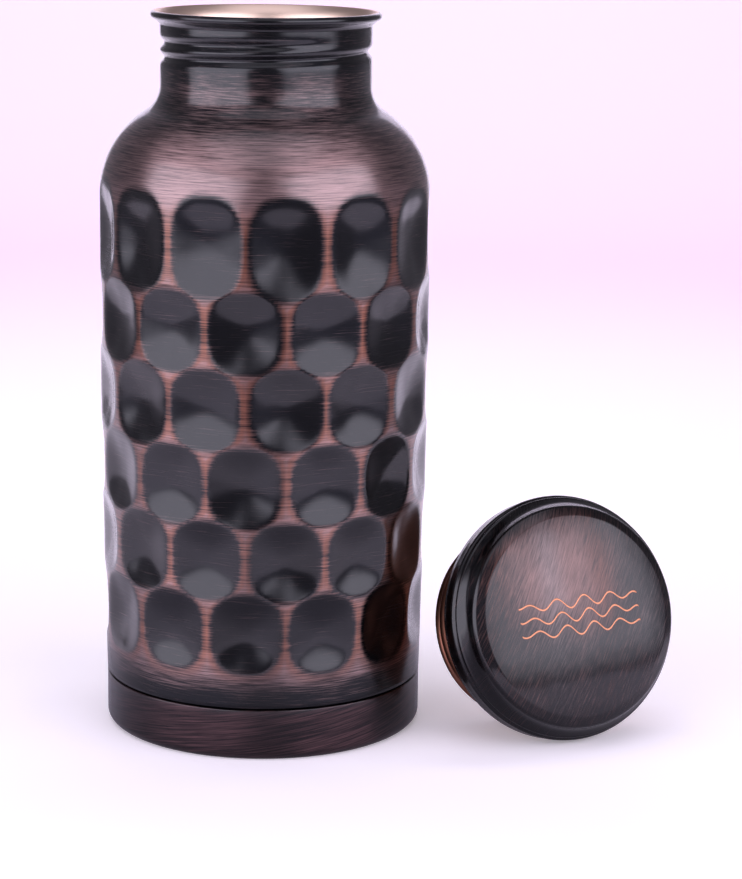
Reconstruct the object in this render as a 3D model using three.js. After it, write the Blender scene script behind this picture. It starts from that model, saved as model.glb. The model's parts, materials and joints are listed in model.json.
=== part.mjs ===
// A one-litre copper water bottle with a hammered barrel, and its screw lid, which lies on its
// rim beside the bottle.  Millimetres, +Z up.  The origin is the middle of the bottle's flat base.
import * as THREE from 'three';
import { mergeVertices } from 'three/addons/utils/BufferGeometryUtils.js';

// ---- driving dimensions ----
const BOTTLE_FACETS = 52;         // facets around the bottle, four to a dimple
const LID_FACETS = 36;            // and around the pieces of the lid
const SHEET = 0.7;                // copper sheet
const GAP = 0.3;                  // clearance kept between pieces that touch

const BOTTLE_HEIGHT = 195;
const BARREL_RADIUS = 44.6;       // over the ridges between the dimples
const FOOT_RADIUS = 43.4;         // the barrel draws in slightly towards its foot
const FOOT_TOP = 14.4;            // the barrel stands on the base cup from here up
const TAPER_TOP = 100;            // above this the barrel is straight
const SHOULDER_START = 146;
const SHOULDER_RADIUS = 26.4;
const NECK_FILLET = 8;
const NECK_RADIUS = 28.4;
const NECK_TOP = 191.8;           // the lip is rolled outwards from here
const LIP_RADIUS = 30.9;

const CUP_HEIGHT = 14;            // wall of the base cup
const CUP_CORNER = 2.6;           // its rounded lower corner
const LAP_BOTTOM = 3.6;           // the barrel's turned-in foot reaches down to here in the cup

const DIMPLES_AROUND = 13;
const DIMPLE_ROWS = 6;
const DIMPLE_PITCH = 20.1;        // from row to row
const LOWEST_ROW = 34.5;          // height of the lowest row's middles
const DIMPLE_WIDTH = 19.7;
const DIMPLE_HEIGHT = 21.8;
const DIMPLE_DEPTH = 2;
const SQUARENESS = 2.7;           // 2 would make the dimples oval
const TOP_ROW_HEIGHT = 27;        // the top row is stretched up into the shoulder
const TOP_ROW_MIDDLE = 137.4;
const DIMPLE_TURN = THREE.MathUtils.degToRad(-80.4);   // direction of the top row's first dimple

const THREAD_PITCH = 3.9;
const THREAD_DEPTH = 1.2;
const THREAD_WIDTH = 1.15;        // half width of the rolled groove
const THREAD_LEFT = 186.5;        // height of the neck's groove where it first passes -X
const THREAD_RUN_IN = 0.375;      // turns of groove before that point
const THREAD_RUN_OUT = 1.375;     // and after it
const THREAD_FADE = 0.16;         // turns over which the groove starts and ends

const SKIRT_RADIUS = 33;
const RIM_RADIUS = 33.4;          // the bead round the top of the skirt
const RIM_HEIGHT = 5.4;           // above the skirt's edge
const DOME_EDGE_RADIUS = 30.3;
const DOME_EDGE_HEIGHT = 13.2;
const DOME_EDGE_ROUND = 1.8;      // the soft edge between the dome's side and its face
const DOME_TOP = 17.8;
const FLANGE_HEIGHT = 2;          // underside of the plug's flange, inside the skirt
const PLUG_RADIUS = 27;
const PLUG_LENGTH = 20.3;         // below the skirt's edge
const PLUG_CORNER = 1.8;
const LID_LEFT = -6.3;            // height of the plug's groove where it first passes the lid's -X

const LID_SWING = THREE.MathUtils.degToRad(24);         // the lid faces this far from -Y towards +X
const LID_MIDDLE = new THREE.Vector2(80, -11.5);        // plan position of its skirt's middle

// ---- turned pieces ----

// A closed body turned around Z from a closed outline of [radius, height] points.  The outline
// runs up the outside and back down the inside.  dent(angle, height) is how far the wall is
// pushed in there.
function turned(outline, facets, dent = () => 0) {
  const points = outline.map(([radius, height]) => new THREE.Vector2(radius, height));
  const geometry = new THREE.LatheGeometry(points, facets, Math.PI / 2 + DIMPLE_TURN);
  geometry.rotateX(Math.PI / 2);
  geometry.deleteAttribute('normal');
  geometry.deleteAttribute('uv');
  const spot = geometry.attributes.position;
  for (let i = 0; i < spot.count; i += 1) {
    const [x, y, z] = [spot.getX(i), spot.getY(i), spot.getZ(i)];
    const radius = Math.hypot(x, y);
    const drawn = radius > GAP ? 1 - dent(Math.atan2(y, x), z) / radius : 1;
    spot.setXY(i, x * drawn, y * drawn);
  }
  const body = mergeVertices(geometry, 1e-4);
  body.computeVertexNormals();
  return body;
}

// Points along a circular arc in the outline's plane, from one angle to another in degrees.
function arc(centreRadius, centreHeight, radius, from, to, steps) {
  return Array.from({ length: steps + 1 }, (_, i) => {
    const angle = THREE.MathUtils.degToRad(from + ((to - from) * i) / steps);
    return [centreRadius + radius * Math.cos(angle), centreHeight + radius * Math.sin(angle)];
  });
}

// Evenly spaced heights, both ends included.
function heights(from, to, steps) {
  return Array.from({ length: steps + 1 }, (_, i) => from + ((to - from) * i) / steps);
}

// ---- hammered and rolled relief ----

// One dimple's depth at a distance across and up from its middle: a shallow bowl in the shape
// of a soft-cornered square.
function bowl(across, up, height, depth) {
  const [wide, high] = [Math.abs((2 * across) / DIMPLE_WIDTH), Math.abs((2 * up) / height)];
  const edge = (wide ** SQUARENESS + high ** SQUARENESS) ** (1 / SQUARENESS);
  return edge < 1 ? depth * (1 - edge * edge) ** 1.3 : 0;
}

// Six rows of dimples, each row half a dimple round from the next.
function dimpleDepth(angle, height) {
  const spacing = (2 * Math.PI) / DIMPLES_AROUND;
  let depth = 0;
  for (let row = 0; row < DIMPLE_ROWS; row += 1) {
    const top = row === DIMPLE_ROWS - 1;
    const middle = top ? TOP_ROW_MIDDLE : LOWEST_ROW + row * DIMPLE_PITCH;
    const turn = DIMPLE_TURN + (top || row % 2 === 1 ? 0 : spacing / 2);
    const away = (angle - turn) / spacing;
    const across = (away - Math.round(away)) * spacing * BARREL_RADIUS;
    const tall = top ? TOP_ROW_HEIGHT : DIMPLE_HEIGHT;
    depth = Math.max(depth, bowl(across, height - middle, tall, DIMPLE_DEPTH));
  }
  return depth;
}

// A right-hand groove rolled into a tube.  left is its height where it first passes -X, and
// runIn and runOut are how many turns of it lie before and after that point.
function threadDepth(angle, height, left, runIn, runOut) {
  const past = (((Math.PI - angle) / (2 * Math.PI)) % 1 + 1) % 1;
  let depth = 0;
  for (let turns = past - 1 - Math.ceil(runIn); turns <= runOut; turns += 1) {
    const open = Math.min(turns + runIn, runOut - turns) / THREAD_FADE;
    const fade = THREE.MathUtils.smoothstep(open, 0, 1);
    const off = (height - (left - turns * THREAD_PITCH)) / THREAD_WIDTH;
    depth = Math.max(depth, THREAD_DEPTH * fade * Math.exp(-off * off));
  }
  return depth;
}

// ---- the bottle ----

// The barrel's radius over its ridges.
function barrelRadius(height) {
  const below = Math.max(0, (TAPER_TOP - height) / (TAPER_TOP - FOOT_TOP));
  return BARREL_RADIUS - (BARREL_RADIUS - FOOT_RADIUS) * Math.min(1, below) ** 1.5;
}

// One face of the shell's wall from foot to neck top, set in from the outside by inset.
function wallFace(inset) {
  const lap = FOOT_RADIUS - SHEET - GAP - inset;
  const centre = BARREL_RADIUS - SHOULDER_RADIUS;
  const filletCentre = NECK_RADIUS + NECK_FILLET;
  const rise = Math.sqrt((SHOULDER_RADIUS + NECK_FILLET) ** 2 - (filletCentre - centre) ** 2);
  const meet = THREE.MathUtils.radToDeg(Math.atan2(rise, filletCentre - centre));
  const third = DIMPLE_PITCH / 3;
  const dimpled = heights(LOWEST_ROW - 2 * third, SHOULDER_START - 1, 19);
  return [
    [lap, LAP_BOTTOM],
    [lap, CUP_HEIGHT + GAP + inset],
    [FOOT_RADIUS - inset, CUP_HEIGHT + 2 * GAP + inset],
    ...dimpled.map((height) => [barrelRadius(height) - inset, height]),
    ...arc(centre, SHOULDER_START, SHOULDER_RADIUS - inset, 4, meet, 5),
    ...arc(filletCentre, SHOULDER_START + rise, NECK_FILLET + inset, 180 + meet, 180, 2).slice(1),
    ...heights(180, 189.6, 8).map((height) => [NECK_RADIUS - inset, height]),
    [NECK_RADIUS - inset, NECK_TOP],
  ];
}

// The barrel, shoulder, neck and rolled lip, raised from one sheet.
function bodyShell() {
  const bead = 1.05;              // half thickness of the rolled lip
  const lip = arc(LIP_RADIUS - bead, BOTTLE_HEIGHT - bead, bead, -80, 110, 4);
  const outline = [...wallFace(0), ...lip, ...wallFace(SHEET).reverse()];
  outline.push(outline[0]);
  return turned(outline, BOTTLE_FACETS, (angle, height) => {
    if (height > NECK_TOP - 1) {
      return 0;
    }
    return height > SHOULDER_START + DIMPLE_PITCH
      ? threadDepth(angle, height, THREAD_LEFT, THREAD_RUN_IN, THREAD_RUN_OUT)
      : dimpleDepth(angle, height);
  });
}

// A flat-bottomed cup pressed from sheet, which closes the foot of the barrel.
function baseCup() {
  const outer = arc(FOOT_RADIUS - CUP_CORNER, CUP_CORNER, CUP_CORNER, -90, 0, 4);
  const inner = arc(FOOT_RADIUS - CUP_CORNER, CUP_CORNER, CUP_CORNER - SHEET, 0, -90, 3);
  return turned([
    [0, 0],
    ...outer,
    [FOOT_RADIUS, CUP_HEIGHT],
    [FOOT_RADIUS - SHEET, CUP_HEIGHT],
    ...inner,
    [0, SHEET],
  ], BOTTLE_FACETS);
}

// The fillet of braze that seals the barrel's foot to the cup's floor.
function baseBrazeRing() {
  const outer = FOOT_RADIUS - 2 * SHEET - 2 * GAP;
  const floor = SHEET + GAP;
  const fillet = 3.2;
  return turned([
    [outer - fillet, floor],
    [outer, floor],
    [outer, floor + fillet],
    [outer - fillet * 0.7, floor + fillet * 0.3],
    [outer - fillet, floor],
  ], LID_FACETS);
}

// ---- the lid, in its own frame: +Z towards the dome, zero at the skirt's edge ----

// The dome's shell: its soft edge and shallow crown, set in from the outside by inset.
function crownFace(inset) {
  const rise = DOME_TOP - DOME_EDGE_HEIGHT;
  const crown = (DOME_EDGE_RADIUS ** 2 + rise ** 2) / (2 * rise);
  const centre = DOME_EDGE_RADIUS - DOME_EDGE_ROUND;
  const tilt = THREE.MathUtils.radToDeg(Math.asin(centre / crown));
  const round = DOME_EDGE_ROUND - inset / 2;
  return [
    ...arc(centre, DOME_EDGE_HEIGHT - DOME_EDGE_ROUND, round, 0, 90 - tilt, 2),
    ...arc(0, DOME_TOP - crown, crown - inset, 90 - tilt * 0.8, 90, 3).slice(0, -1),
    [0, DOME_TOP - inset],
  ];
}

// The lid's outer cap: a shallow dome with a skirt, a round bead at the rim and a fine one above.
function lidDome() {
  const inner = [[SKIRT_RADIUS - SHEET, 0], [SKIRT_RADIUS - SHEET, RIM_HEIGHT + 2], ...crownFace(SHEET)];
  const outer = [
    [SKIRT_RADIUS, 0],
    [SKIRT_RADIUS, RIM_HEIGHT - 1.4],
    ...arc(RIM_RADIUS - 1, RIM_HEIGHT, 1, -50, 60, 4),
    [SKIRT_RADIUS - 0.6, RIM_HEIGHT + 1.3],
    [SKIRT_RADIUS - 0.2, RIM_HEIGHT + 1.9],
    [SKIRT_RADIUS - 0.7, RIM_HEIGHT + 2.7],
    ...crownFace(0),
  ];
  return turned([...inner.reverse(), ...outer], LID_FACETS);
}

// The bare cup that screws into the neck: a flange, a wall with the rolled thread, and an end.
function lidPlug() {
  const tip = -PLUG_LENGTH;
  const flange = SKIRT_RADIUS - SHEET - GAP;
  const wall = heights(-4.6, tip + PLUG_CORNER, 9);
  const side = (inset) => wall.map((height) => [PLUG_RADIUS - inset, height]);
  const outline = [
    [0, tip],
    ...arc(PLUG_RADIUS - PLUG_CORNER, tip + PLUG_CORNER, PLUG_CORNER, -90, 0, 2).slice(0, -1),
    ...side(0).reverse(),
    [PLUG_RADIUS, FLANGE_HEIGHT],
    [flange, FLANGE_HEIGHT],
    [flange, FLANGE_HEIGHT + SHEET],
    [PLUG_RADIUS - SHEET, FLANGE_HEIGHT + SHEET],
    ...side(SHEET),
    ...arc(PLUG_RADIUS - PLUG_CORNER, tip + PLUG_CORNER, PLUG_CORNER - SHEET, 0, -90, 2).slice(1),
    [0, tip + SHEET],
  ];
  return turned(outline, LID_FACETS, (angle, height) => {
    const inside = height < -4 && height > tip + PLUG_CORNER - 1;
    return inside ? threadDepth(angle, height, LID_LEFT, THREAD_RUN_IN, 5) : 0;
  });
}

// The soft washer under the flange, which the lip presses on.
function lidGasket() {
  const top = FLANGE_HEIGHT - GAP;
  const bottom = top - 1.3;
  const inner = PLUG_RADIUS + GAP;
  const outer = LIP_RADIUS + 0.3;
  const section = [[inner, bottom], [outer, bottom], [outer, top], [inner, top], [inner, bottom]];
  return turned(section, LID_FACETS);
}

// The fillet of solder inside the lid, which holds the plug's flange in the skirt.
function lidSolderRing() {
  const floor = FLANGE_HEIGHT + SHEET + GAP;
  const outer = SKIRT_RADIUS - SHEET - GAP;
  const fillet = 1.6;
  return turned([
    [outer - fillet, floor],
    [outer, floor],
    [outer, floor + fillet],
    [outer - fillet, floor],
  ], LID_FACETS);
}

// ---- assembly ----

function named(name, geometry, colour, roughness, metalness) {
  const finish = new THREE.MeshStandardMaterial({ color: colour, roughness, metalness });
  const mesh = new THREE.Mesh(geometry, finish);
  mesh.name = name;
  return mesh;
}

// The lean at which the lid rests on both its skirt's edge and the tip of its plug, by halving.
function lidLean() {
  const corner = PLUG_RADIUS - PLUG_CORNER;
  let [low, high] = [0, Math.PI / 4];
  for (let i = 0; i < 40; i += 1) {
    const lean = (low + high) / 2;
    const drop = (SKIRT_RADIUS - corner) * Math.cos(lean) - (PLUG_LENGTH - PLUG_CORNER) * Math.sin(lean);
    if (drop > PLUG_CORNER) {
      low = lean;
    } else {
      high = lean;
    }
  }
  return low;
}

// The lid lies on its side: its axis points towards -Y, turned towards +X and tipped up.
function lying(lid) {
  const lean = lidLean();
  const axis = new THREE.Vector3(
    Math.sin(LID_SWING) * Math.cos(lean),
    -Math.cos(LID_SWING) * Math.cos(lean),
    Math.sin(lean),
  );
  const across = new THREE.Vector3(Math.cos(LID_SWING), Math.sin(LID_SWING), 0);
  const up = new THREE.Vector3().crossVectors(axis, across);
  lid.setRotationFromMatrix(new THREE.Matrix4().makeBasis(across, up, axis));
  lid.position.set(LID_MIDDLE.x, LID_MIDDLE.y, SKIRT_RADIUS * Math.cos(lean));
  return lid;
}

const group = new THREE.Group();
group.add(
  named('body_shell', bodyShell(), 0x4a3436, 0.3, 1),
  named('base_cup', baseCup(), 0x3a2a30, 0.34, 1),
  named('base_braze_ring', baseBrazeRing(), 0xb89a62, 0.5, 1),
);

const lid = new THREE.Group();
lid.add(
  named('lid_dome', lidDome(), 0x42343a, 0.28, 1),
  named('lid_plug', lidPlug(), 0xd39a7c, 0.3, 1),
  named('lid_gasket', lidGasket(), 0xe4e0da, 0.6, 0),
  named('lid_solder_ring', lidSolderRing(), 0xb9b6b0, 0.5, 1),
);
group.add(lying(lid));

export default group;
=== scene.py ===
"""A hammered copper water bottle in dark lacquered antique copper, and its screw lid beside it."""

import json
import math

import bmesh
import bpy
from mathutils import Matrix, Vector


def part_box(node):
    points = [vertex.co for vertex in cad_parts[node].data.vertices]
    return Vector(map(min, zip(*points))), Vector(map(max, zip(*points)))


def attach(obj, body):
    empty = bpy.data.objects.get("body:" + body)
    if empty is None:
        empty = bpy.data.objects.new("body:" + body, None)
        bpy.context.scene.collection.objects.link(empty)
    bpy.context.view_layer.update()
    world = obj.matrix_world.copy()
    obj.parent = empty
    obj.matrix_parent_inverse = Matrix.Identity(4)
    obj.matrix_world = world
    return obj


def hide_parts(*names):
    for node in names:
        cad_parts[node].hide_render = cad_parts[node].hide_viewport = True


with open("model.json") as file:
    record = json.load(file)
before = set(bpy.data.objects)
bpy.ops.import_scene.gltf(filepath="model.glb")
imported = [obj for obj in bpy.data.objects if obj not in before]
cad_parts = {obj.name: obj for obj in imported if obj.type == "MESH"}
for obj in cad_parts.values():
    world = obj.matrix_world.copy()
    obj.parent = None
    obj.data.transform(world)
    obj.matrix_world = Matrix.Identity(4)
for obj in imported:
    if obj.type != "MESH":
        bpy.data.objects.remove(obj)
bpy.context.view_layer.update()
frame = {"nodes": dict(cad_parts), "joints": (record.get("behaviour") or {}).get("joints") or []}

# ---- The view ----
# A long lens a little above the lip, level enough that the bottle's sides stay nearly upright.
# The bottle stands left of the middle, and leaves room for its lid on the right.

view_lens = 113.4 / 1000  # focal length for a sensor 36 mm long
camera_data = bpy.data.cameras.new("view")
camera_data.lens = view_lens * 1000
camera_data.sensor_width = 36
camera_data.clip_start = 0.01
camera_data.clip_end = 20
camera = bpy.data.objects.new("view", camera_data)
camera_tip = math.radians(90 - 12.32)
camera_roll = math.radians(0.74)
camera.matrix_world = (
    Matrix.Translation((0.0293, -0.744, 0.241))
    @ Matrix.Rotation(camera_tip, 4, "X")
    @ Matrix.Rotation(camera_roll, 4, "Z")
)
bpy.context.scene.collection.objects.link(camera)
bpy.context.scene.camera = camera
bpy.context.scene.view_settings.view_transform = "Standard"


# ---- The studio ----
# A pale table that ends just in front of the bottle and sweeps up behind it into a backdrop, two
# large softboxes in front with a dark gap between them, a weaker one overhead, and a wash of light
# on the backdrop.


def linear(hex_colour):
    """An sRGB hex colour as the linear RGBA that a shader takes."""
    parts = [int(hex_colour[i : i + 2], 16) / 255 for i in (1, 3, 5)]
    return tuple(
        c / 12.92 if c <= 0.04045 else ((c + 0.055) / 1.055) ** 2.4 for c in parts
    ) + (1.0,)


def add_node(material, kind, inputs=(), **settings):
    """Adds a node to a material, with its settings and its inputs' values or links."""
    tree = material.node_tree
    made = tree.nodes.new(kind)
    for name, value in settings.items():
        setattr(made, name, value)
    for name, value in dict(inputs).items():
        if isinstance(value, bpy.types.NodeSocket):
            tree.links.new(value, made.inputs[name])
        else:
            made.inputs[name].default_value = value
    return made


def new_material(name):
    """An empty material with only its output, and that output."""
    made = bpy.data.materials.new(name)
    made.use_nodes = True
    made.node_tree.nodes.clear()
    return made, add_node(made, "ShaderNodeOutputMaterial")


def add_piece(name, shape, *materials):
    """Makes a smooth-shaded object of a bmesh, with its place in its mesh."""
    mesh = bpy.data.meshes.new(name)
    shape.to_mesh(mesh)
    shape.free()
    mesh.shade_smooth()
    for material in materials:
        mesh.materials.append(material)
    piece = bpy.data.objects.new(name, mesh)
    bpy.context.scene.collection.objects.link(piece)
    return piece


def paper(name, near, far, near_radius, far_radius, glow):
    """Matt paper that changes colour with its distance from the bottle, and glows a little as painted
    light.
    """
    material, output = new_material(name)
    place = add_node(material, "ShaderNodeTexCoord")
    distance = add_node(
        material, "ShaderNodeVectorMath", {0: place.outputs["Object"]}, operation="LENGTH"
    )
    change = add_node(
        material,
        "ShaderNodeMapRange",
        {
            "Value": distance.outputs["Value"],
            "From Min": near_radius,
            "From Max": far_radius,
        },
        interpolation_type="SMOOTHSTEP",
    )
    colour = add_node(
        material, "ShaderNodeMix", {"Factor": change.outputs[0]}, data_type="RGBA"
    )
    colour.inputs["A"].default_value = linear(near)
    colour.inputs["B"].default_value = linear(far)
    shader = add_node(
        material,
        "ShaderNodeBsdfPrincipled",
        {
            "Base Color": colour.outputs["Result"],
            "Roughness": 0.8,
            "Specular IOR Level": 0.1,
            "Emission Color": colour.outputs["Result"],
            "Emission Strength": glow,
        },
    )
    material.node_tree.links.new(shader.outputs[0], output.inputs[0])
    return material


def paper_sweep(name, material, width, front, drop):
    """A sheet of paper that lies flat and curves up behind the bottle, lower and further by drop."""
    back, height, curve, steps = 0.9, 1.0, 0.35, 12  # metres, and steps round the curve
    turns = [math.pi / 2 * i / steps for i in range(steps + 1)]
    profile = [(back + curve * math.sin(a), curve - curve * math.cos(a)) for a in turns]
    profile = [(front, 0)] + profile + [(back + curve, height)]
    sheet_of_paper = bmesh.new()
    edge_start = [sheet_of_paper.verts.new((-width / 2, y + drop, z - drop)) for y, z in profile]
    edges = [sheet_of_paper.edges.new(pair) for pair in zip(edge_start, edge_start[1:])]
    drawn = bmesh.ops.extrude_edge_only(sheet_of_paper, edges=edges)
    far_edge = [e for e in drawn["geom"] if isinstance(e, bmesh.types.BMVert)]
    bmesh.ops.translate(sheet_of_paper, verts=far_edge, vec=(width, 0, 0))
    swept = add_piece(name, sheet_of_paper, material)
    return swept


# The lacquer reflects a table that ends a little in front of the bottle, with painted shade round
# the bottle: its paper is greyer there. The view shows plain pale paper in its place, which runs on
# further. Both sheets glow a little, as painted light.
# The near colour of the table paper is painted shade.
table_paper = paper("table_paper_painted_shade", "#8a8590", "#f0e8f4", 0.05, 0.2, 0.3)
table_piece = paper_sweep("table_sweep", table_paper, 0.9, -0.34, 0)
table_piece.visible_camera = False
# The floor paper's glow is painted light.
floor_paper = paper("matt_white_paper", "#fff9fe", "#f1daf7", 0.25, 0.9, 0.2)
floor_rise = 0.0001  # keeps the two sheets apart
floor_piece = paper_sweep("pale_floor", floor_paper, 6.0, -2.5, -floor_rise)
floor_piece.visible_diffuse = False
floor_piece.visible_glossy = False
floor_piece.visible_shadow = False


softbox_fade = 0.22  # share of a softbox over which each edge fades out


def add_softbox(name, place, aim, size, glow, colour):
    """A softbox that faces its aim, brightest in the middle and soft towards its edges."""
    light = bpy.data.lights.new(name, "AREA")
    light.shape = "RECTANGLE"
    light.size, light.size_y = size
    light.energy = glow * math.pi * size[0] * size[1]
    light.color = linear(colour)[:3]
    light.use_nodes = True
    light.node_tree.nodes.clear()
    face = add_node(light, "ShaderNodeNewGeometry")
    from_middle = add_node(
        light,
        "ShaderNodeVectorMath",
        {0: face.outputs["Parametric"], 1: (0.5, 0.5, 0)},
        operation="SUBTRACT",
    )
    reach = add_node(
        light, "ShaderNodeVectorMath", {0: from_middle.outputs[0]}, operation="ABSOLUTE"
    )
    sides = add_node(light, "ShaderNodeSeparateXYZ", {"Vector": reach.outputs[0]})
    falls = [
        add_node(
            light,
            "ShaderNodeMapRange",
            {"Value": sides.outputs[axis], "From Min": 0.5, "From Max": 0.5 - softbox_fade},
            interpolation_type="SMOOTHSTEP",
        )
        for axis in (0, 1)
    ]
    fall = add_node(
        light,
        "ShaderNodeMath",
        {0: falls[0].outputs[0], 1: falls[1].outputs[0]},
        operation="MULTIPLY",
    )
    cloth = add_node(light, "ShaderNodeEmission", {"Strength": fall.outputs[0]})
    add_node(light, "ShaderNodeOutputLight", {"Surface": cloth.outputs[0]})
    holder = bpy.data.objects.new(name, light)
    holder.location = place
    toward = Vector(aim) - Vector(place)
    holder.rotation_euler = toward.to_track_quat("-Z", "Y").to_euler()
    holder.visible_camera = False
    bpy.context.scene.collection.objects.link(holder)
    return holder


bottle_middle = (0, 0, 0.1)
add_softbox("left_softbox", (-0.86, -0.685, 0.4), bottle_middle, (2.0, 1.2), 2.8, "#f2eeff")
add_softbox("right_softbox", (0.9, -0.74, 0.5), bottle_middle, (1.9, 1.2), 2.8, "#f2eeff")
add_softbox("top_softbox", (0, -0.4, 1.25), bottle_middle, (1.7, 1.3), 0.8, "#f2eeff")
backdrop = (0, 1.2, 0.2)
wash = add_softbox("backdrop_light", (0, 0.45, 1.3), backdrop, (2.4, 0.6), 4, "#f8f4ff")
wash.visible_glossy = False

room = bpy.data.worlds.new("studio_room")
room.use_nodes = True
room.node_tree.nodes["Background"].inputs["Color"].default_value = linear("#88838f")
room.node_tree.nodes["Background"].inputs["Strength"].default_value = 0.6
bpy.context.scene.world = room

# ---- The hammered body ----
# One sheet of copper raised into a barrel, shoulder and neck, with its lip rolled outwards.  Six
# staggered rows of dimples are pressed into the barrel, and a thread groove is rolled into the
# neck.  The outside is darkened, rubbed back on the high places and lacquered; the inside is bare.

MM = 0.001
sheet = 0.7 * MM
foot_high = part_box("base_cup")[1]
shell_low, shell_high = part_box("body_shell")
barrel_radius = 44.6 * MM
foot_radius = foot_high.x
lip_top = shell_high.z
cup_top = foot_high.z
seam_gap = 0.3 * MM
taper_top = 100 * MM
shoulder_start = 146 * MM
shoulder_round = 26.4 * MM
neck_radius = 28.4 * MM
neck_fillet = 8 * MM
neck_top = 191.8 * MM
lip_radius = 30.9 * MM
lip_round = 1.05 * MM

dimples_around = 13
dimple_rows = 6
dimple_pitch = 20.1 * MM
lowest_row = 34.5 * MM
top_row = 137.4 * MM
dimple_width = 19.7 * MM
dimple_height = 21.8 * MM
top_dimple_height = 27 * MM
dimple_depth = 2.0 * MM
dimple_turn = math.radians(-80.4)
squareness = 2.7
slip = 0.35 * MM  # how far a dimple sits off its place

thread_pitch = 3.9 * MM
thread_depth = 1.2 * MM
thread_width = 1.15 * MM
thread_left = 186.5 * MM
thread_run_in = 0.375
thread_run_out = 1.375
thread_fade = 0.16


def barrel_at(height):
    """The barrel's radius over its ridges."""
    below = min(1, max(0, (taper_top - height) / (taper_top - cup_top)))
    return barrel_radius - (barrel_radius - foot_radius) * below**1.5


def arc(centre, radius, start, end, steps):
    """Points along an arc in the outline's plane, each a radius and a height."""
    angles = [math.radians(start + (end - start) * i / steps) for i in range(steps + 1)]
    return [
        (centre[0] + radius * math.cos(a), centre[1] + radius * math.sin(a))
        for a in angles
    ]


def rising(start, end, step):
    """Evenly spaced heights from start to end, about a step apart."""
    count = max(1, round((end - start) / step))
    return [start + (end - start) * i / count for i in range(count + 1)]


def wall_face(inset, step):
    """One face of the body's wall from its foot to the top of the neck, set in by inset."""
    lap = foot_radius - sheet - seam_gap - inset
    centre = barrel_radius - shoulder_round
    fillet = neck_radius + neck_fillet
    rise = math.sqrt((shoulder_round + neck_fillet) ** 2 - (fillet - centre) ** 2)
    meet = math.degrees(math.atan2(rise, fillet - centre))
    seam = cup_top + 1.2 * seam_gap + inset
    face = [(lap, shell_low.z), (lap, seam), (foot_radius - 2 * seam_gap - inset, seam)]
    face += [(barrel_at(z) - inset, z) for z in rising(seam + seam_gap, shoulder_start, step)]
    face += arc((centre, shoulder_start), shoulder_round - inset, 1.5, meet, 30)
    face += arc(
        (fillet, shoulder_start + rise), neck_fillet + inset, 180 + meet, 180, 10
    )[1:]
    threads = rising(178 * MM, neck_top - 0.3 * MM, step / 2.6)
    return face + [(neck_radius - inset, z) for z in threads]


def dimple_edge(angle, height):
    """How far out a point lies in its nearest dimple, 0 at the middle and 1 at the edge.

    Also how far that is sideways: 1 straight to the side, and 0 straight up or down.
    """
    spacing = 2 * math.pi / dimples_around
    nearest, sideways = 9.0, 0.0
    for row in range(dimple_rows):
        top = row == dimple_rows - 1
        middle = top_row if top else lowest_row + row * dimple_pitch
        tall = top_dimple_height if top else dimple_height
        if abs(height - middle) > tall:
            continue
        turn = dimple_turn + (0 if row % 2 else spacing / 2)
        away = (angle - turn) / spacing
        blow = round(away) % dimples_around
        aside = slip * math.sin(7.1 * row + 2.3 * blow)
        lift = slip * math.sin(4.7 * row + 5.9 * blow)
        high = abs(2 * (height - middle - lift) / tall) ** squareness
        across = (away - round(away)) * spacing * barrel_radius - aside
        wide = abs(2 * across / dimple_width)
        reach = (wide**squareness + high) ** (1 / squareness)
        if reach < nearest:
            nearest = reach
            sideways = wide**squareness / (wide**squareness + high + 1e-6)
    return nearest, sideways


def thread_dip(angle, height, left, run_in, run_out):
    """How deep a right-hand rolled groove is at a point; it first passes -X at left."""
    past = ((math.pi - angle) / (2 * math.pi)) % 1
    dip = 0.0
    turns = past - 1 - math.ceil(run_in)
    while turns <= run_out:
        opened = min(1, max(0, min(turns + run_in, run_out - turns) / thread_fade))
        fade = opened * opened * (3 - 2 * opened)
        off = (height - (left - turns * thread_pitch)) / thread_width
        dip = max(dip, thread_depth * fade * math.exp(-off * off))
        turns += 1
    return dip


def smooth_step(low, high, value):
    """0 below low, 1 above high, and an even curve between."""
    part = min(1, max(0, (value - low) / (high - low)))
    return part * part * (3 - 2 * part)


def spin_face(shape, outline, steps, material_index):
    """Turns an outline of radii and heights around +Z, and gives its faces a material."""
    points = [shape.verts.new((r, 0, z)) for r, z in outline]
    edges = [shape.edges.new(pair) for pair in zip(points, points[1:])]
    old_faces = set(shape.faces)
    bmesh.ops.spin(
        shape,
        geom=points + edges,
        cent=(0, 0, 0),
        axis=(0, 0, 1),
        angle=2 * math.pi,
        steps=steps,
        use_merge=True,
    )
    for face in shape.faces:
        if face not in old_faces:
            face.material_index = material_index


def close_up(shape):
    """Merges what a spin leaves double, drops flat faces, and turns every face outwards."""
    bmesh.ops.remove_doubles(shape, verts=shape.verts, dist=2e-6)
    bmesh.ops.dissolve_degenerate(shape, edges=shape.edges, dist=1e-7)
    bmesh.ops.recalc_face_normals(shape, faces=shape.faces)


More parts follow.
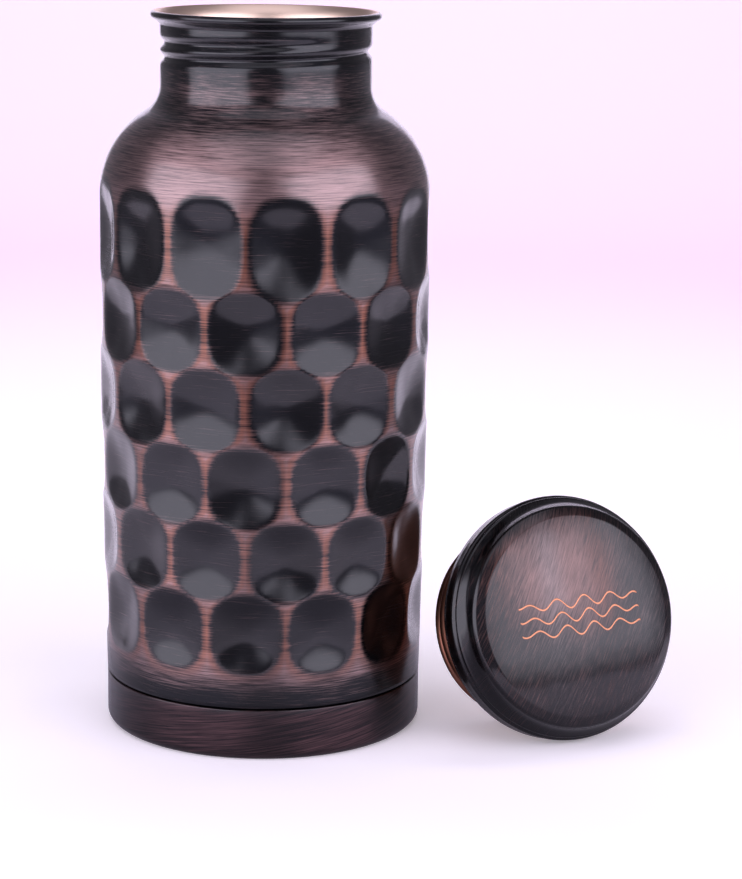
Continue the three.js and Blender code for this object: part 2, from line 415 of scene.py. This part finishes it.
def antique_copper(
    name, grain_scale, band_scale, patina, bronze, copper, worn_range, band_weight, lacquer
):
    """Copper darkened in a sulphur bath, rubbed back with a fine abrasive and lacquered.

    The patina is nearly black, the rubbed metal shows through it in fine parallel scratches, and
    the clear lacquer over both gives sharp, weak reflections of the room. The scratches run along
    the grain map's U, and the metal's own reflection is spread across them.
    """
    material, output = new_material(name)
    surface = add_node(material, "ShaderNodeUVMap", uv_map="grain")
    fine = add_node(
        material,
        "ShaderNodeMapping",
        {"Vector": surface.outputs["UV"], "Scale": grain_scale},
    )
    grain = add_node(
        material,
        "ShaderNodeTexNoise",
        {"Vector": fine.outputs["Vector"], "Scale": 1.0, "Detail": 4.0, "Roughness": 0.65},
    )
    broad = add_node(
        material,
        "ShaderNodeMapping",
        {"Vector": surface.outputs["UV"], "Scale": band_scale},
    )
    bands = add_node(
        material,
        "ShaderNodeTexNoise",
        {"Vector": broad.outputs["Vector"], "Scale": 1.0, "Detail": 3.0, "Roughness": 0.5},
    )
    # The rubbed attribute holds the wear, and also painted shade towards the body's foot and a painted
    # highlight on the lid's crown.
    wear_and_light_attribute = add_node(material, "ShaderNodeAttribute", attribute_name="wear_and_painted_light")
    crest = add_node(material, "ShaderNodeAttribute", attribute_name="crest")
    scratched = add_node(
        material,
        "ShaderNodeMath",
        {0: grain.outputs["Fac"], 1: 1.5, 2: -0.75},
        operation="MULTIPLY_ADD",
    )
    banded = add_node(
        material,
        "ShaderNodeMath",
        {0: bands.outputs["Fac"], 1: band_weight, 2: scratched.outputs[0]},
        operation="MULTIPLY_ADD",
    )
    worn = add_node(
        material, "ShaderNodeMath", {0: wear_and_light_attribute.outputs["Fac"], 1: banded.outputs[0]}, operation="ADD"
    )
    showing = add_node(
        material,
        "ShaderNodeMapRange",
        {"Value": worn.outputs[0], "From Min": worn_range[0], "From Max": worn_range[1]},
        interpolation_type="SMOOTHSTEP",
    )
    metal = add_node(
        material,
        "ShaderNodeMix",
        {"Factor": crest.outputs["Fac"]},
        data_type="RGBA",
    )
    metal.inputs["A"].default_value = linear(bronze)
    metal.inputs["B"].default_value = linear(copper)
    colour = add_node(
        material,
        "ShaderNodeMix",
        {"Factor": showing.outputs[0], "B": metal.outputs["Result"]},
        data_type="RGBA",
    )
    colour.inputs["A"].default_value = linear(patina)
    dull = add_node(
        material,
        "ShaderNodeMapRange",
        {"Value": grain.outputs["Fac"], "From Min": 0.3, "From Max": 0.7, "To Min": 0.36, "To Max": 0.5},
    )
    ripple = add_node(
        material,
        "ShaderNodeTexNoise",
        {"Vector": surface.outputs["UV"], "Scale": 130.0, "Detail": 1.0},
    )
    wavy = add_node(
        material,
        "ShaderNodeBump",
        {"Height": ripple.outputs["Fac"], "Strength": 1.0, "Distance": 0.00008},
    )
    bump = add_node(
        material,
        "ShaderNodeBump",
        {
            "Height": grain.outputs["Fac"],
            "Strength": 0.3,
            "Distance": 0.00004,
            "Normal": wavy.outputs["Normal"],
        },
    )
    along = add_node(material, "ShaderNodeTangent", direction_type="UV_MAP", uv_map="grain")
    shader = add_node(
        material,
        "ShaderNodeBsdfPrincipled",
        {
            "Base Color": colour.outputs["Result"],
            "Metallic": 1.0,
            "Roughness": dull.outputs[0],
            "Normal": bump.outputs["Normal"],
            "Anisotropic": 0.85,
            "Anisotropic Rotation": 0.25,
            "Tangent": along.outputs["Tangent"],
            "Coat Weight": 1.0,
            "Coat Roughness": lacquer,
            "Coat IOR": 1.5,
            "Coat Normal": wavy.outputs["Normal"],
        },
    )
    material.node_tree.links.new(shader.outputs[0], output.inputs[0])
    return material


def lay_grain(shape, across):
    """Lays a flat map over a shape, one unit to the metre: across gives each corner's place."""
    grain = shape.loops.layers.uv.new("grain")
    for face in shape.faces:
        corners = [across(loop.vert.co) for loop in face.loops]
        furthest = max(u for u, v in corners)
        for loop, (u, v) in zip(face.loops, corners):
            loop[grain].uv = (u + seam_length if furthest - u > seam_length / 2 else u, v)


def bare_metal(name, colour, roughness, grain_place, grain_turn, grain_scale):
    """Bare sheet metal, polished on a wheel, with faint lines that follow the grain."""
    material, output = new_material(name)
    place = add_node(material, "ShaderNodeTexCoord")
    turned = add_node(
        material,
        "ShaderNodeMapping",
        {"Vector": place.outputs["Object"], "Location": grain_place, "Rotation": grain_turn},
        vector_type="TEXTURE",
    )
    stretched = add_node(
        material,
        "ShaderNodeMapping",
        {"Vector": turned.outputs["Vector"], "Scale": grain_scale},
    )
    grain = add_node(
        material,
        "ShaderNodeTexNoise",
        {"Vector": stretched.outputs["Vector"], "Scale": 1.0, "Detail": 3.0},
    )
    dull = add_node(
        material,
        "ShaderNodeMapRange",
        {"Value": grain.outputs["Fac"], "To Min": roughness - 0.06, "To Max": roughness + 0.1},
    )
    bump = add_node(
        material,
        "ShaderNodeBump",
        {"Height": grain.outputs["Fac"], "Strength": 0.2, "Distance": 0.00003},
    )
    shader = add_node(
        material,
        "ShaderNodeBsdfPrincipled",
        {
            "Base Color": linear(colour),
            "Metallic": 1.0,
            "Roughness": dull.outputs[0],
            "Normal": bump.outputs["Normal"],
        },
    )
    material.node_tree.links.new(shader.outputs[0], output.inputs[0])
    return material


# Scratches from the belt run round the body. Real ones are a few hundredths of a millimetre wide,
# too fine to show, so they are drawn about a third of a millimetre wide and 20 mm long.
body_copper = antique_copper(
    "lacquered_antique_copper",
    (90, 3000, 1),
    (14, 420, 1),
    patina="#15161b",
    bronze="#be9c9a",
    copper="#ac6f5b",
    worn_range=(0.4, 1.4),
    band_weight=0.36,
    lacquer=0.15,
)
inside_copper = bare_metal(
    "bare_polished_copper", "#fce0cc", 0.36, (0, 0, 0), (0, 0, 0), (60, 60, 1500)
)
seam_length = 2 * math.pi * barrel_radius


def around(corner):
    """A point's place round the bottle, and its height, in metres."""
    return math.atan2(corner.y, corner.x) * barrel_radius, corner.z


body_steps = 264
body_row = 0.9 * MM
inner_row = 2.4 * MM
wall_worn = 0.78  # how far the rubbing shows on the open wall, and in the dimples
dimple_worn = 0.14
fillet_shade = 0.36  # and how much less it shows under the neck, at the thread and at the foot
fillet_span = (160 * MM, 170 * MM)
thread_shade = 0.24
thread_span = (177 * MM, 182 * MM)
# foot_shade is painted shade: the rubbed copper shows less towards the bottom of the body, so the foot
# is darker.
foot_shade = 0.6
foot_span = (15 * MM, 27 * MM)
worn_edge = (0.89, 1.1)  # from the dimple's middle, as dimple_edge gives it
crest_inner = (0.9, 1.04)
crest_outer = (1.06, 1.35)
crest_top = (140 * MM, 152 * MM)
crest_level = 0.4  # share of the coppery crest where a ridge runs level
lip_turn = 84  # degrees round the rolled lip at which the lacquer stops
lip_centre = (lip_radius - lip_round, lip_top - lip_round)
body = bmesh.new()
outside = wall_face(0, body_row)
lip_outside = arc(lip_centre, lip_round, -80, lip_turn, 12)
lip_inside = arc(lip_centre, lip_round, lip_turn, 120, 3)
inside = wall_face(sheet, inner_row)[::-1]
spin_face(body, outside + lip_outside, body_steps, 0)
spin_face(body, lip_inside + inside + [outside[0]], body_steps, 1)
close_up(body)
lay_grain(body, around)
wear_and_painted_shade_layer = body.verts.layers.float.new("wear_and_painted_light")
crest_layer = body.verts.layers.float.new("crest")
thread_zone = shoulder_start + dimple_pitch
for corner in body.verts:
    x, y, height = corner.co
    radius = math.hypot(x, y)
    angle = math.atan2(y, x)
    dip = 0.0
    wear_and_painted_shade = wall_worn - smooth_step(*fillet_span, height) * fillet_shade
    wear_and_painted_shade -= smooth_step(*thread_span, height) * thread_shade
    crested = 0.0
    if height < thread_zone:
        edge, sideways = dimple_edge(angle, height)
        dip = dimple_depth * (1 - edge * edge) ** 1.3 if edge < 1 else 0
        # Painted shade: darker towards the foot.
        wear_and_painted_shade -= foot_shade * (1 - smooth_step(*foot_span, height))
        wear_and_painted_shade = dimple_worn + (wear_and_painted_shade - dimple_worn) * smooth_step(*worn_edge, edge)
        crested = smooth_step(*crest_inner, edge) * (1 - smooth_step(*crest_outer, edge))
        crested *= crest_level + (1 - crest_level) * sideways
        crested *= 1 - smooth_step(*crest_top, height)
    elif height < neck_top - 1 * MM:
        dip = thread_dip(angle, height, thread_left, thread_run_in, thread_run_out)
    corner[wear_and_painted_shade_layer] = wear_and_painted_shade
    corner[crest_layer] = crested
    corner.co = (x * (1 - dip / radius), y * (1 - dip / radius), height)
body_piece = add_piece("hammered_body", body, body_copper, inside_copper)
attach(body_piece, "bottle")
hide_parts("body_shell")

# ---- The base cup ----
# A shallow cup pressed from the same sheet, which closes the foot of the barrel. It is brushed by
# hand, a little aslant, and its edge shows as a fine line round the foot.

cup_corner = 2.6 * MM
cup_edge = 0.3 * MM
cup_brushing = 0.14  # rise of a hand-made stroke over its length
cup_steps = 240
cup_worn = 0.45
cup_crested = 0.35
# The cup's bronze and copper are darker than the body's, as painted shade over its brushed finish.
cup_copper = antique_copper(
    "lacquered_antique_copper_cup_painted_shade",
    (60, 2600, 1),
    (30, 330, 1),
    patina="#1b1519",
    bronze="#6d525a",
    copper="#80544c",
    worn_range=(0.45, 1.5),
    band_weight=0.6,
    lacquer=0.16,
)
cup = bmesh.new()
cup_outside = [(0, 0), (20 * MM, 0)]
cup_outside += arc((foot_radius - cup_corner, cup_corner), cup_corner, -90, 0, 12)
cup_outside += [(foot_radius, z) for z in rising(4 * MM, cup_top - cup_edge, 2 * MM)]
cup_outside += arc((foot_radius - cup_edge, cup_top - cup_edge), cup_edge, 20, 90, 3)
cup_inside = [(foot_radius - sheet, cup_top), (foot_radius - sheet, cup_top - MM)]
cup_inside += arc((foot_radius - cup_corner, cup_corner), cup_corner - sheet, 0, -90, 6)
cup_inside += [(0, sheet)]
spin_face(cup, cup_outside + cup_inside[:1], cup_steps, 0)
spin_face(cup, cup_inside, cup_steps, 1)
close_up(cup)
lay_grain(cup, lambda c: (around(c)[0], c.z - cup_brushing * around(c)[0]))
cup_rubbed = cup.verts.layers.float.new("wear_and_painted_light")
cup_crest = cup.verts.layers.float.new("crest")
for corner in cup.verts:
    corner[cup_rubbed] = cup_worn
    corner[cup_crest] = cup_crested
cup_piece = add_piece("base_cup_brushed", cup, cup_copper, inside_copper)
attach(cup_piece, "bottle")
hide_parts("base_cup")

# ---- The braze inside the foot ----
# A ring of braze alloy, run into the corner between the barrel's foot and the cup's floor. It is
# left as it flowed: yellower than the copper, and duller.

braze = bare_metal("raw_braze_alloy", "#b8935a", 0.45, (0, 0, 0), (0, 0, 0), (400, 400, 400))
braze_ring = frame["nodes"]["base_braze_ring"]
braze_ring.data.materials.clear()
braze_ring.data.materials.append(braze)

# ---- The lid's dome ----
# A shallow dome pressed from sheet, with a straight skirt, a round bead at its rim and a fine one
# above. It is darkened and lacquered like the body, and brushed straight across.

lid_joint = next(j for j in frame["joints"] if j["name"] == "lid_turn")
lid_axis = Vector(lid_joint["axis"]).normalized()
lid_across = Vector((-lid_axis.y, lid_axis.x, 0)).normalized()
lid_up = lid_axis.cross(lid_across)
lid_place = Matrix((lid_across, lid_up, lid_axis)).transposed().to_4x4()
lid_place.translation = Vector(lid_joint["pos_m"])

skirt_radius = 33.0 * MM
rim_radius = 33.4 * MM
rim_height = 5.4 * MM
rim_round = 1.0 * MM
fine_bead = 0.45 * MM
dome_edge = 30.3 * MM
dome_edge_height = 13.2 * MM
dome_edge_round = 1.8 * MM
dome_top = 17.8 * MM
dome_rise = dome_top - dome_edge_height
dome_crown = (dome_edge**2 + dome_rise**2) / (2 * dome_rise)


def crown_face(inset, steps):
    """The dome's soft edge and crown, from the side to the middle of the top."""
    centre = dome_edge - dome_edge_round
    tilt = math.degrees(math.asin(centre / dome_crown))
    edge = (centre, dome_edge_height - dome_edge_round)
    face = arc(edge, dome_edge_round - inset / 2, 0, 90 - tilt, steps)
    crown = (0, dome_top - dome_crown)
    return face + arc(crown, dome_crown - inset, 90 - 0.97 * tilt, 90, 3 * steps)


lid_turn = lid_place.to_euler()
lid_brushing = math.radians(62)
lid_steps = 240
edge_height = 0.15 * MM  # of the skirt's inner edge, which is eased
cove_steps = 8
cove_depth = 0.35 * MM
side_worn = 0.02
crown_worn = 0.62
crown_start = (dome_edge_height - 1.4 * MM, dome_edge_height + 0.6 * MM)
painted_highlight_middle = (-5 * MM, 13 * MM)  # the middle of a painted highlight on the crown
painted_highlight_span = (26 * MM, 4 * MM)
painted_highlight_least = 0.2
cloud_width = 5 * MM
lid_copper = antique_copper(
    "lacquered_antique_copper_lid",
    (170, 2600, 1),
    (30, 110, 1),
    patina="#17161a",
    bronze="#9f8583",
    copper="#a06a5e",
    worn_range=(0.2, 1.5),
    band_weight=0.35,
    lacquer=0.12,
)
dome = bmesh.new()
dome_side = [(skirt_radius - sheet, edge_height), (skirt_radius - 0.4 * MM, 0)]
dome_side += [(skirt_radius, 0.3 * MM), (skirt_radius, 2 * MM), (skirt_radius, 4.4 * MM)]
dome_side += arc((rim_radius - rim_round, rim_height), rim_round, -52, 58, 12)
dome_side += [(skirt_radius - 0.35 * MM, rim_height + 1.15 * MM)]
dome_side += arc(
    (skirt_radius - 0.75 * MM, rim_height + 1.8 * MM), fine_bead, -55, 70, 6
)
cove = (skirt_radius - 0.9 * MM, rim_height + 2.6 * MM)
side_top = (dome_edge, dome_edge_height - dome_edge_round)
for step in range(cove_steps + 1):
    part = step / cove_steps
    hollow = cove_depth * math.sin(math.pi * part)
    dome_side += [
        (
            cove[0] + (side_top[0] - cove[0]) * part - hollow,
            cove[1] + (side_top[1] - cove[1]) * part,
        )
    ]
dome_inside = [(skirt_radius - sheet, edge_height), (skirt_radius - sheet, rim_height)]
dome_inside += [(skirt_radius - 2.3 * sheet, rim_height + 1.5 * MM)]
dome_inside += crown_face(sheet, 4)
spin_face(dome, dome_side + crown_face(0, 14)[1:], lid_steps, 0)
spin_face(dome, dome_inside, lid_steps, 1)
close_up(dome)
lay_grain(
    dome,
    lambda c: (
        c.x * math.cos(lid_brushing) + c.y * math.sin(lid_brushing),
        c.y * math.cos(lid_brushing) - c.x * math.sin(lid_brushing),
    ),
)
dome_wear_and_painted_highlight = dome.verts.layers.float.new("wear_and_painted_light")
dome_crest = dome.verts.layers.float.new("crest")
# The crown's wear is scaled by a painted highlight, strongest round one spot.
for corner in dome.verts:
    on_crown = smooth_step(*crown_start, corner.co.z)
    from_painted_highlight = math.hypot(corner.co.x - painted_highlight_middle[0], corner.co.y - painted_highlight_middle[1])
    painted_highlight = painted_highlight_least + (1 - painted_highlight_least) * smooth_step(*painted_highlight_span, from_painted_highlight)
    corner[dome_wear_and_painted_highlight] = side_worn + crown_worn * on_crown * painted_highlight
    corner[dome_crest] = 0.5 + 0.5 * math.sin(corner.co.x / cloud_width) ** 3
dome.transform(lid_place)
dome_piece = add_piece("lid_dome_pressed", dome, lid_copper, inside_copper)
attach(dome_piece, "lid")
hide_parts("lid_dome")

# ---- The etched mark ----
# Three plain wavy lines, etched through the lacquer and patina to bright copper. They lie a few
# hundredths of a millimetre proud so that they show.

mark_length = 36 * MM
mark_line = 0.5 * MM
mark_wave = 1.5 * MM
mark_gap = 3.7 * MM
mark_steps = 96
mark_wavelength = 8.2 * MM
mark_stagger = 0.12  # of a wave from line to line
mark_tilt = math.radians(2)
mark_proud = 0.03 * MM
etched = bare_metal(
    "etched_bright_copper", "#ffb48c", 0.5, lid_place.translation, lid_turn, (900, 900, 900)
)
mark = bmesh.new()
for line in (-1, 0, 1):
    row = []
    for step in range(mark_steps + 1):
        along = mark_length * (step / mark_steps - 0.5)
        swell = math.cos(math.pi * (step / mark_steps - 0.5)) ** 0.5
        wave = math.sin(2 * math.pi * (along / mark_wavelength + line * mark_stagger))
        row.append(mark.verts.new((along, line * mark_gap + mark_wave * swell * wave, 0)))
    row_edges = [mark.edges.new(pair) for pair in zip(row, row[1:])]
    widened = bmesh.ops.extrude_edge_only(mark, edges=row_edges)
    far_side = [v for v in widened["geom"] if isinstance(v, bmesh.types.BMVert)]
    bmesh.ops.translate(mark, verts=far_side, vec=(0, mark_line, 0))
for corner in mark.verts:
    corner.co.z = (
        dome_top - dome_crown + mark_proud
        + math.sqrt(dome_crown**2 - corner.co.x**2 - corner.co.y**2)
    )
thickened = bmesh.ops.extrude_face_region(mark, geom=mark.faces[:])
under_side = [v for v in thickened["geom"] if isinstance(v, bmesh.types.BMVert)]
bmesh.ops.translate(mark, verts=under_side, vec=(0, 0, -3 * mark_proud))
bmesh.ops.recalc_face_normals(mark, faces=mark.faces)
mark.transform(lid_place @ Matrix.Rotation(mark_tilt, 4, "Z"))
mark_piece = add_piece("etched_wave_mark", mark, etched)
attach(mark_piece, "lid")

# ---- The lid's plug ----
# A bare copper cup with the matching thread rolled into its wall. Its flange is soldered inside
# the skirt, and its end is closed, so water never touches the solder.

plug_radius = 27 * MM
plug_length = 20.3 * MM
plug_corner = 1.8 * MM
flange_height = 2 * MM
flange_radius = skirt_radius - sheet - seam_gap
plug_thread_left = -6.3 * MM
plug_thread_turns = 5
plug_thread_top = -3.6 * MM
# The plug's copper is darker than the lip's inside, as painted shade: it sits in the lid's shadow.
plug_copper = bare_metal(
    "bare_plug_copper_painted_shade", "#a8735f", 0.32, lid_place.translation, lid_turn, (60, 60, 1500)
)


def plug_wall(inset, step):
    """One face of the plug's wall, from just above its corner up to its flange."""
    rows = rising(-plug_length + plug_corner, -3.5 * MM, step)
    return [(plug_radius - inset, z) for z in rows]


plug = bmesh.new()
plug_end = (plug_radius - plug_corner, plug_corner - plug_length)
plug_outline = [(0, -plug_length), (14 * MM, -plug_length)]
plug_outline += arc(plug_end, plug_corner, -90, 0, 8)[:-1]
plug_outline += plug_wall(0, 0.35 * MM)
plug_outline += [(plug_radius, flange_height - 0.3 * MM)]
plug_outline += [(plug_radius + 0.3 * MM, flange_height), (flange_radius, flange_height)]
plug_outline += [(flange_radius, flange_height + sheet)]
plug_outline += [(plug_radius - sheet, flange_height + sheet)]
plug_outline += plug_wall(sheet, 0.9 * MM)[::-1]
plug_outline += arc(plug_end, plug_corner - sheet, 0, -90, 4)[1:]
plug_outline += [(0, sheet - plug_length)]
spin_face(plug, plug_outline, lid_steps, 0)
close_up(plug)
for corner in plug.verts:
    x, y, height = corner.co
    if plug_corner - plug_length - 0.1 * MM < height < plug_thread_top:
        dip = thread_dip(
            math.atan2(y, x), height, plug_thread_left, thread_run_in, plug_thread_turns
        )
        part = 1 - dip / math.hypot(x, y)
        corner.co = (x * part, y * part, height)
plug.transform(lid_place)
plug_piece = add_piece("lid_plug_threaded", plug, plug_copper)
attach(plug_piece, "lid")
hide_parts("lid_plug")

# ---- The washer ----
# A soft ring of milky silicone under the flange, moulded with rounded edges, that the bottle's
# lip presses on.

washer_inner = plug_radius + seam_gap
washer_outer = lip_radius + seam_gap
washer_top = flange_height - seam_gap
washer_thick = 1.3 * MM
washer_round = 0.4 * MM
washer_steps = 180
silicone, silicone_output = new_material("moulded_milky_silicone")
silicone_place = add_node(silicone, "ShaderNodeTexCoord")
silicone_grain = add_node(
    silicone,
    "ShaderNodeTexNoise",
    {"Vector": silicone_place.outputs["Object"], "Scale": 900.0},
)
silicone_bump = add_node(
    silicone,
    "ShaderNodeBump",
    {"Height": silicone_grain.outputs["Fac"], "Strength": 0.2, "Distance": 0.00005},
)
silicone_shader = add_node(
    silicone,
    "ShaderNodeBsdfPrincipled",
    {
        "Base Color": linear("#dedad2"),
        "Roughness": 0.45,
        "Subsurface Weight": 0.3,
        "Subsurface Scale": 0.001,
        "Normal": silicone_bump.outputs["Normal"],
    },
)
silicone.node_tree.links.new(silicone_shader.outputs[0], silicone_output.inputs[0])
washer = bmesh.new()
washer_outline = []
for radius, height, start in (
    (washer_outer - washer_round, washer_top - washer_thick + washer_round, -90),
    (washer_outer - washer_round, washer_top - washer_round, 0),
    (washer_inner + washer_round, washer_top - washer_round, 90),
    (washer_inner + washer_round, washer_top - washer_thick + washer_round, 180),
):
    washer_outline += arc((radius, height), washer_round, start, start + 90, 4)
spin_face(washer, washer_outline + washer_outline[:1], washer_steps, 0)
close_up(washer)
washer.transform(lid_place)
washer_piece = add_piece("silicone_washer", washer, silicone)
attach(washer_piece, "washer")
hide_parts("lid_gasket")

# ---- The solder inside the lid ----
# A ring of tin solder between the flange and the skirt, sealed in by the dome. It is dull grey
# and slightly lumpy.

solder = bare_metal("raw_tin_solder", "#b6b2aa", 0.5, (0, 0, 0), (0, 0, 0), (500, 500, 500))
solder_ring = frame["nodes"]["lid_solder_ring"]
solder_ring.data.materials.clear()
solder_ring.data.materials.append(solder)
